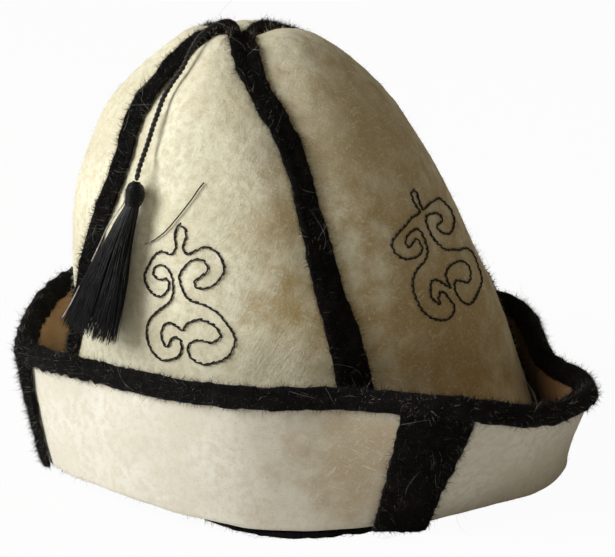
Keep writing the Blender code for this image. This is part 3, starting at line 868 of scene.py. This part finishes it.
def patch_group():
    """A soft round patch: 1 at a place and 0 at a reach from it, with an uneven edge."""
    group = bpy.data.node_groups.new("patch", "ShaderNodeTree")
    socket(group, "Place", "INPUT", "NodeSocketVector")
    socket(group, "Reach", "INPUT", default=0.01)
    socket(group, "Mask", "OUTPUT")
    nodes = Nodes(group)
    start = group.nodes.new("NodeGroupInput")
    end = group.nodes.new("NodeGroupOutput")
    away = nodes.add("VectorMath", operation="DISTANCE", _0=nodes.place(), _1=start.outputs["Place"])
    share = nodes.math("DIVIDE", away.outputs["Value"], start.outputs["Reach"])
    uneven = nodes.math("ADD", share, nodes.ramp(nodes.noise(90.0), 0.3, 0.7, -0.3, 0.3))
    made = nodes.add(
        "MapRange", interpolation_type="SMOOTHSTEP",
        Value=uneven, From_Min=0.1, From_Max=1.0, To_Min=1.0, To_Max=0.0,
    )
    group.links.new(made.outputs["Result"], end.inputs["Mask"])
    return group


def place_group(nodes, group, **values):
    """A node that uses a group, with its own values."""
    node = nodes.tree.nodes.new("ShaderNodeGroup")
    node.node_tree = group
    for key, value in values.items():
        node.inputs[key].default_value = value
    return node


def bumped(nodes, shader, height, distance, strength=1.0):
    """Gives a shader a fine relief."""
    bump = nodes.add("Bump", Height=height, Distance=distance, Strength=strength)
    nodes.tree.links.new(bump.outputs["Normal"], shader.inputs["Normal"])


# Browner places on the felt. The crown's first four are partly painted shade and partly the felt's own
# browner tone: over the front right gore, which faces away from the lamp, over its top, on the front left
# gore's right side and beside the front band. Its last two only make the back browner
CROWN_SHADE_AND_TONE_PATCHES = (
    # place, reach, strength
    ((0.0560, -0.0470, 0.0720), 0.088, 0.95),
    ((0.0240, -0.0320, 0.1420), 0.060, 0.75),
    ((-0.0010, -0.0790, 0.0850), 0.035, 1.00),
    ((-0.0120, -0.0620, 0.1180), 0.026, 0.80),
    ((0.0700, 0.0400, 0.0500), 0.050, 0.50),
    ((-0.0400, 0.0600, 0.0600), 0.045, 0.35),
)
# On the brim: a small brown spot at the left front, three broad browner patches low at the front round the
# front band, and two at the back
BRIM_PATCHES = (
    ((-0.0610, -0.0780, 0.0480), 0.0024, 0.8),
    ((0.0180, -0.0990, 0.0180), 0.034, 0.70),
    ((0.0060, -0.1010, 0.0400), 0.040, 0.75),
    ((-0.0300, -0.0980, 0.0120), 0.024, 0.35),
    ((0.0600, 0.0800, 0.0200), 0.030, 0.40),
    ((-0.0900, 0.0500, 0.0300), 0.026, 0.35),
)


def felt_material(name, groups, light, dark, brown, patches, nap, depth):
    """Matted wool: clouds of a darker tone, browner patches and pale fibres over them; on the crown the
    patches are partly painted shade.
    """
    material, shader, nodes = new_material(name, 0.95, Sheen_Weight=0.12, Sheen_Roughness=0.5)
    nap_node = place_group(nodes, groups["nap"], Size=nap)
    cloudy = nodes.ramp(nodes.noise(45.0, 4.0), 0.40, 0.66, 0.0, 0.8)
    colour = nodes.blend(cloudy, light, dark)
    small = nodes.ramp(nodes.noise(330.0, 4.0), 0.42, 0.62, 0.0, 0.85)
    colour = nodes.blend(small, colour, dark)
    # Each patch blends towards brown; on the crown's front gores this is painted shade as well as the
    # felt's own browner tone
    for place, reach, strength in patches:
        patch = place_group(nodes, groups["patch"], Place=place, Reach=reach)
        colour = nodes.blend(nodes.math("MULTIPLY", patch.outputs["Mask"], strength), colour, brown)
    speckled = nodes.ramp(nodes.noise(1500.0, 2.0), 0.60, 0.72, 0.0, 0.45)
    colour = nodes.blend(speckled, colour, brown)
    strokes = nodes.math("MULTIPLY", nap_node.outputs["Strokes"], 0.6)
    colour = nodes.blend(strokes, colour, light)
    nodes.tree.links.new(colour, shader.inputs["Base Color"])
    bumped(nodes, shader, nap_node.outputs["Height"], depth, 0.8)
    return material


def pile_material():
    """Black woolly pile, browner where it is rubbed."""
    material, shader, nodes = new_material(
        "black_pile", 0.85, Specular_IOR_Level=0.15, Sheen_Weight=0.02, Sheen_Roughness=0.4
    )
    tufts = nodes.ramp(nodes.noise(300.0, 3.0, distortion=0.8), 0.45, 0.68)
    rubbed = nodes.ramp(nodes.noise(60.0, 2.0), 0.50, 0.72, 0.0, 0.6)
    colour = nodes.blend(tufts, (0.0015, 0.0013, 0.0012), (0.0065, 0.0055, 0.0048))
    colour = nodes.blend(rubbed, colour, (0.012, 0.0095, 0.0075))
    nodes.tree.links.new(colour, shader.inputs["Base Color"])
    bumped(nodes, shader, nodes.noise(900.0, 3.0, distortion=1.0), 0.0007)
    return material


def facing_material():
    """Smooth tan cloth, darker where it is creased."""
    material, shader, nodes = new_material("tan_facing", 0.66, Sheen_Weight=0.15)
    threads = nodes.add(
        "TexWave", wave_type="BANDS", bands_direction="Z", Vector=nodes.place(), Scale=320.0, Distortion=0.4
    )
    worn = nodes.ramp(nodes.noise(60.0, 4.0), 0.35, 0.7)
    colour = nodes.blend(worn, (0.52, 0.33, 0.17), (0.34, 0.19, 0.08))
    nodes.tree.links.new(colour, shader.inputs["Base Color"])
    bumped(nodes, shader, threads.outputs["Fac"], 0.00015, 0.5)
    return material


def yarn_material(name, dark, light, roughness, size=500.0, gloss=0.5):
    """Spun thread, lighter where it is worn."""
    material, shader, nodes = new_material(name, roughness, Sheen_Weight=0.03, Specular_IOR_Level=gloss)
    faded = nodes.ramp(nodes.noise(size, 3.0), 0.42, 0.72)
    nodes.tree.links.new(nodes.blend(faded, dark, light), shader.inputs["Base Color"])
    bumped(nodes, shader, nodes.noise(3000.0, 2.0), 0.0001)
    return material


def build_materials():
    """All the finishes of the hat, by a short name."""
    groups = {"nap": nap_group(), "patch": patch_group()}
    return {
        # The crown's brown also gives the painted shade in its patches
        "crown": felt_material(
            "crown_felt", groups, (0.88, 0.855, 0.655), (0.69, 0.635, 0.44), (0.46, 0.335, 0.145),
            CROWN_SHADE_AND_TONE_PATCHES, 0.0011, 0.0007,
        ),
        "brim": felt_material(
            "brim_felt", groups, (0.84, 0.82, 0.705), (0.72, 0.68, 0.545), (0.50, 0.395, 0.24),
            BRIM_PATCHES, 0.0008, 0.0003,
        ),
        "pile": pile_material(),
        "facing": facing_material(),
        "thread": yarn_material(
            "black_thread", (0.0018, 0.0022, 0.0026), (0.008, 0.0095, 0.011), 0.42, 700.0, 0.28
        ),
        "stitch": yarn_material("stitch_yarn", (0.004, 0.0035, 0.003), (0.030, 0.022, 0.015), 0.7),
        "cord": yarn_material("cord_yarn", (0.005, 0.0045, 0.0045), (0.035, 0.027, 0.020), 0.6),
        "grey_wool": yarn_material("grey_wool", (0.035, 0.031, 0.028), (0.16, 0.145, 0.125), 0.7),
        "lint": yarn_material("white_lint", (0.30, 0.28, 0.25), (0.74, 0.72, 0.66), 0.6),
    }


def place_camera():
    """The camera at the photograph's angle and framing."""
    azimuth, elevation = math.radians(VIEW_AZIMUTH), math.radians(VIEW_ELEVATION)
    back = Vector((
        math.sin(azimuth) * math.cos(elevation),
        -math.cos(azimuth) * math.cos(elevation),
        math.sin(elevation),
    ))
    data = bpy.data.cameras.new("view_camera")
    data.sensor_width = 36.0
    data.lens = VIEW_DISTANCE / PIXEL * data.sensor_width / IMAGE[0]
    data.shift_x = (0.5 * IMAGE[0] - TARGET_PIXEL[0]) / IMAGE[0]
    data.shift_y = (TARGET_PIXEL[1] - 0.5 * IMAGE[1]) / IMAGE[0]
    data.clip_start = 0.01
    camera = bpy.data.objects.new("view_camera", data)
    bpy.context.collection.objects.link(camera)
    camera.location = AXIS + Vector((0.0, 0.0, VIEW_HEIGHT)) + back * VIEW_DISTANCE
    camera.rotation_mode = "QUATERNION"
    camera.rotation_quaternion = (-back).to_track_quat("-Z", "Y")
    bpy.context.scene.camera = camera


def place_lamp():
    """A soft round lamp that faces the hat."""
    data = bpy.data.lights.new("key_light", "AREA")
    data.shape = "DISK"
    data.size = LAMP_SIZE
    data.energy = LAMP_POWER
    data.color = LAMP_COLOUR
    lamp = bpy.data.objects.new("key_light", data)
    bpy.context.collection.objects.link(lamp)
    lamp.location = LAMP_PLACE
    lamp.rotation_mode = "QUATERNION"
    lamp.rotation_quaternion = (Vector(LAMP_AIM) - Vector(LAMP_PLACE)).to_track_quat("-Z", "Y")


def build_stage():
    """A plain pale floor that glows a little, and soft light from the left."""
    bpy.ops.object.select_all(action="DESELECT")
    bpy.ops.mesh.primitive_plane_add(size=FLOOR_SIZE)
    floor = bpy.context.object
    floor.name = "floor"
    material, shader, nodes = new_material("pale_floor", 0.9)
    shader.inputs["Base Color"].default_value = FLOOR_TONE
    glow = nodes.add("Emission", Color=(1.0, 1.0, 1.0, 1.0), Strength=1.0)
    share = nodes.math("MULTIPLY", nodes.add("LightPath").outputs["Is Camera Ray"], FLOOR_GLOW)
    mixed = nodes.add("MixShader", _0=share, _1=shader.outputs[0], _2=glow.outputs[0])
    output = material.node_tree.nodes["Material Output"]
    nodes.tree.links.new(mixed.outputs[0], output.inputs["Surface"])
    floor.data.materials.append(material)
    world = bpy.data.worlds.new("studio")
    world.use_nodes = True
    sky = world.node_tree.nodes["Background"]
    sky.inputs["Color"].default_value = SKY_COLOUR
    sky.inputs["Strength"].default_value = SKY_STRENGTH
    bpy.context.scene.world = world
    place_lamp()
    bpy.context.scene.view_settings.view_transform = "Standard"


def build_cord(materials):
    """The two-ply cord from the apex over the left band to the tassel's head."""
    line = smooth_line([AXIS + Vector(point) for point in CORD_ROUTE], CORD_STEP)
    tubes = Tubes()
    for start in (0.0, math.pi):
        strand = wound_round(line, STRAND_PLACE * CORD_DIAMETER, STRAND_TURN, start)
        tubes.add(strand, STRAND_RADIUS * CORD_DIAMETER, 8)
    cord = tubes.mesh("cord")
    finish_piece(cord, materials["cord"], "black_thread", "tassel_cord")
    return cord, line


def build_tassel_head(materials):
    """The tassel's head: a rounded knot with thread wound round it."""
    core = soft_copy("tassel_head", "knot", 2, 0.0)
    axis = smooth_line([row[:3] for row in HEAD], 0.00012)
    radii = along_rows(HEAD, len(axis))
    line = []
    for k, (side, other) in enumerate(sides_along(axis)):
        turn = math.tau * WINDING_TURNS * k / (len(axis) - 1)
        line.append(axis[k] + (side * math.cos(turn) + other * math.sin(turn)) * (radii[k] * 0.97))
    tubes = Tubes()
    tubes.add(smooth_line(line, 0.0004), WINDING_RADIUS)
    knot = joined(core, tubes.mesh("winding"))
    finish_piece(knot, materials["thread"], "black_thread", "tassel_head")
    return knot


def build_tassel_skirt(materials, chance):
    """The tassel's threads, in locks, spread and a little ragged towards their ends."""
    tubes = Tubes()
    rows = []
    for x, y, z, azimuth, wide, deep in SKIRT:
        angle = math.radians(azimuth)
        out = Vector((math.cos(angle), math.sin(angle), 0.0))
        rows.append((Vector((x, y, z)), Vector((-out.y, out.x, 0.0)), out, wide, deep))
    aside = rows[4][1] + rows[4][2]
    locks = chance.random(TASSEL_LOCKS) * math.tau
    for k in range(TASSEL_THREADS):
        turn = math.tau * k / TASSEL_THREADS + 0.08 * chance.normal()
        if k % 2:
            turn = math.copysign(math.acos(chance.uniform(-0.98, 0.98)), turn - math.pi)
        lock = locks[np.argmin(np.abs(np.angle(np.exp(1j * (locks - turn)))))]
        reach = chance.uniform(0.90, 1.0) if k % 3 else chance.uniform(0.3, 0.9)
        gather = chance.uniform(0.0, 0.28)
        ends = chance.normal(0.0, 0.055, 2)
        if k % 60 == 7:
            ends[0] = chance.uniform(0.15, 0.45)
        wave = chance.normal(0.0, 0.025)
        crinkle = chance.normal(0.0, 0.00022)
        pace = chance.uniform(14.0, 30.0)
        line = []
        for step, (middle, across, out, wide, deep) in enumerate(rows):
            share = step / (len(rows) - 1)
            pulled = turn + gather * share * float(np.angle(np.exp(1j * (lock - turn))))
            sway = wave * math.sin(5.0 * share + k)
            line.append(
                middle
                + across * (wide * (reach * math.cos(pulled) + ends[0] * share ** 2 + sway))
                + out * (deep * (reach * math.sin(pulled) + ends[1] * share))
            )
        line[-1] = line[-2].lerp(line[-1], chance.uniform(0.6, 1.3))
        line = smooth_line(line, 0.0022)
        for step, point in enumerate(line):
            share = step / (len(line) - 1)
            point += aside * (crinkle * math.sin(pace * share + k) * min(1.0, 3.0 * share))
        tubes.add(line, TASSEL_THREAD_RADIUS, 4, 0.4)
    skirt = tubes.mesh("threads")
    finish_piece(skirt, materials["thread"], "black_thread", "tassel_skirt")


def build_felt(materials, chance):
    """The crown's gores and the brim's panels in felt, with fibres that stand off them."""
    trees = {}
    felts = {"crown": [], "brim": []}
    for kind, node, name, lumps, dense, fibre in FELTS:
        for gore in GORES:
            piece = soft_copy(node + gore, name + gore, FELT_ROUNDING)
            if kind == "crown" and gore == "front_left":
                press_fold(piece)
            roughen(piece, lumps)
            if kind == "crown":
                trees[gore] = surface_tree(piece)
            felts[kind].append(spread_over(piece, EDGE_DENSITY, chance))
            roots, normals = spread_over(piece, dense, chance)
            fuzz = hairs("fuzz", roots, normals, chance, *fibre)
            finish_piece(joined(piece, fuzz), materials[kind], kind + "_felt", node + gore)
    return trees, {kind: [np.concatenate(rows) for rows in zip(*made)] for kind, made in felts.items()}


def lean_over(felt, tree, chance):
    """Longer fibres of the felt that lie out over the edge of the pile beside them."""
    roots, ways = [], []
    for place, normal in zip(*felt):
        near, _, _, away = tree.find_nearest(Vector(place), EDGE_REACH)
        if near is not None and away > EDGE_CLEARANCE:
            toward = np.array(near) - place
            roots.append(place)
            ways.append(normal + toward / away)
    return hairs("edge_wool", np.array(roots), np.array(ways), chance, *EDGE_WOOL)


def build_pile(materials, felts, chance):
    """The black bands, the rim's binding and the hem, in woolly pile."""
    lint = Tubes()
    strays = []
    edges = {"crown": [], "brim": []}
    for node, levels, crease, dense, outside, white in PILE:
        piece = soft_copy(node, "pile_" + node, levels, crease)
        if node == "rim_binding":
            wrinkle(piece, *RIM_WRINKLES)
        elif node.startswith("brim_band"):
            tuck_ends(piece, *BAND_TUCK)
        elif node == "hem_binding":
            sink_hem(piece)
        roughen(piece, PILE_LUMPS)
        lay_lint(lint, piece, white, chance)
        tree = surface_tree(piece)
        for kind in edges:
            if kind in node or node == "rim_binding":
                edges[kind].append(lean_over(felts[kind], tree, chance))
        roots, normals = spread_over(piece, STRAY_DENSITY, chance, outside)
        strays.append(hairs("strays", roots, normals, chance, *STRAYS))
        roots, normals = spread_over(piece, dense, chance, outside)
        tufts = hairs("tufts", roots, normals, chance, *TUFTS)
        finish_piece(joined(piece, tufts), materials["pile"], "black_pile", node)
    finish_piece(lint.mesh("stray_lint"), materials["lint"], "crown_felt")
    for kind, made in edges.items():
        wool = joined(*made)
        wool.name = kind + "_edge_wool"
        finish_piece(wool, materials[kind], kind + "_felt")
    fibres = joined(*strays)
    fibres.name = "stray_fibres"
    finish_piece(fibres, materials["grey_wool"], "black_pile")


def build_apex_knot(materials, chance):
    """The small knot of black pile that fills the opening at the crown's top."""
    bpy.ops.object.select_all(action="DESELECT")
    bpy.ops.mesh.primitive_cube_add(size=KNOT_BLOCK, location=KNOT_PLACE)
    piece = bpy.context.object
    piece.name = "apex_knot"
    piece.scale.z = KNOT_FLATNESS
    bpy.ops.object.transform_apply(location=True, rotation=True, scale=True)
    rounded(piece, KNOT_ROUNDING)
    roughen(piece, KNOT_LUMPS)
    roots, normals = spread_over(piece, KNOT_DENSITY, chance, False)
    tufts = hairs("tufts", roots, normals, chance, *TUFTS)
    finish_piece(joined(piece, tufts), materials["pile"], "black_pile")


def build_facing(materials):
    """The tan cloth inside the brim."""
    piece = soft_copy("brim_facing", "facing_cloth", 2)
    roughen(piece, FACING_LUMPS)
    finish_piece(piece, materials["facing"], "tan_facing", "brim_facing")


def spot_on(tree, azimuth, height):
    """The outer point of the crown at an azimuth and a height, and the normal there."""
    angle = math.radians(azimuth)
    way = Vector((math.cos(angle), math.sin(angle), 0.0))
    place, normal, _, _ = tree.ray_cast(AXIS + way * 0.3 + Vector((0.0, 0.0, height)), -way)
    return place, normal


def sew(tubes, line, normal, chance):
    """Adds short slanting stitches that overlap along a line and dip into the felt at their ends."""
    spacing = (line[1] - line[0]).length
    step = max(2, round(STITCH_PITCH / spacing))
    span = max(3, round(STITCH_LENGTH / spacing))
    for first in range(0, len(line) - 1, step):
        part = line[first:first + round(span * chance.uniform(0.85, 1.15))]
        if len(part) < 4:
            continue
        slant = STITCH_SLANT * chance.uniform(0.7, 1.3)
        stitch = []
        for k, point in enumerate(part):
            share = k / (len(part) - 1)
            side = normal.cross(part[min(k + 1, len(part) - 1)] - part[max(k - 1, 0)]).normalized()
            rise = STITCH_RADIUS * (2.2 * math.sin(math.pi * share) - 1.2)
            stitch.append(point + side * (slant * (2.0 * share - 1.0)) + normal * rise)
        tubes.add(stitch, STITCH_RADIUS * chance.uniform(0.85, 1.1), 5, 0.5)


def build_scrolls(materials, trees, chance):
    """The ram's-horn outline on each gore, stitched down in twisted yarn."""
    for gore, azimuth, height, *halves in SCROLL_PLACES:
        tree = trees[gore]
        middle, _ = spot_on(tree, azimuth, height)
        round_it = [(turn, rise) for turn in (-8, 0, 8) for rise in (-0.015, 0.0, 0.015)]
        normal = sum(
            (spot_on(tree, azimuth + turn, height + rise)[1] for turn, rise in round_it), Vector()
        ).normalized()
        across = Vector((0.0, 0.0, 1.0)).cross(normal).normalized()
        up = normal.cross(across)
        tubes = Tubes()
        for half in halves:
            chart = smooth_line([
                (share * SCROLL_HALF_WIDTH, rise * SCROLL_HALF_HEIGHT, 0.0) for share, rise in half
            ], CHART_STEP)
            strays = [(*chance.normal(0.0, STITCH_SWAY, 2), 0.0) for _ in range(len(chart) // 14)]
            drift = smooth_line(strays, 0.0001)
            line = []
            for k, mark in enumerate(chart):
                stray = drift[k * (len(drift) - 1) // len(chart)]
                start = middle + across * (mark.x + stray.x) + up * (mark.y + stray.y) + normal * 0.04
                place, _, _, _ = tree.ray_cast(start, -normal)
                line.append(place + normal * 0.6 * STITCH_RADIUS)
            sew(tubes, line, normal, chance)
        finish_piece(tubes.mesh("scroll_" + gore), materials["stitch"], "black_thread")


def build_loose_threads(materials, tree):
    """A loose end of sewing thread on the front left gore, and pale ones over the tassel."""
    laid = []
    for point in smooth_line(LOOSE_THREAD, LOOSE_STEP):
        place, normal, _, _ = tree.find_nearest(point)
        laid.append(place + normal * LOOSE_LIFT)
    pale = Tubes()
    for points in PALE_THREADS:
        pale.add(smooth_line(points, LOOSE_STEP), PALE_RADIUS)
    finish_piece(pale.mesh("pale_thread"), materials["lint"], "black_thread")
    turn_pale = int(LOOSE_DARK_SHARE * len(laid))
    for name, part, finish in (
        ("dark_end", laid[:turn_pale + 1], "stitch"),
        ("pale_end", laid[turn_pale:], "lint"),
    ):
        tubes = Tubes()
        tubes.add(part, LOOSE_RADIUS)
        finish_piece(tubes.mesh("loose_thread_" + name), materials[finish], "black_thread")


def main():
    chance = np.random.default_rng(11)
    place_camera()
    materials = build_materials()
    cord, line = build_cord(materials)
    knot = build_tassel_head(materials)
    build_tassel_skirt(materials, chance)
    trees, felts = build_felt(materials, chance)
    build_pile(materials, felts, chance)
    build_facing(materials)
    build_scrolls(materials, trees, chance)
    build_loose_threads(materials, trees["front_left"])
    build_apex_knot(materials, chance)
    build_stage()


main()
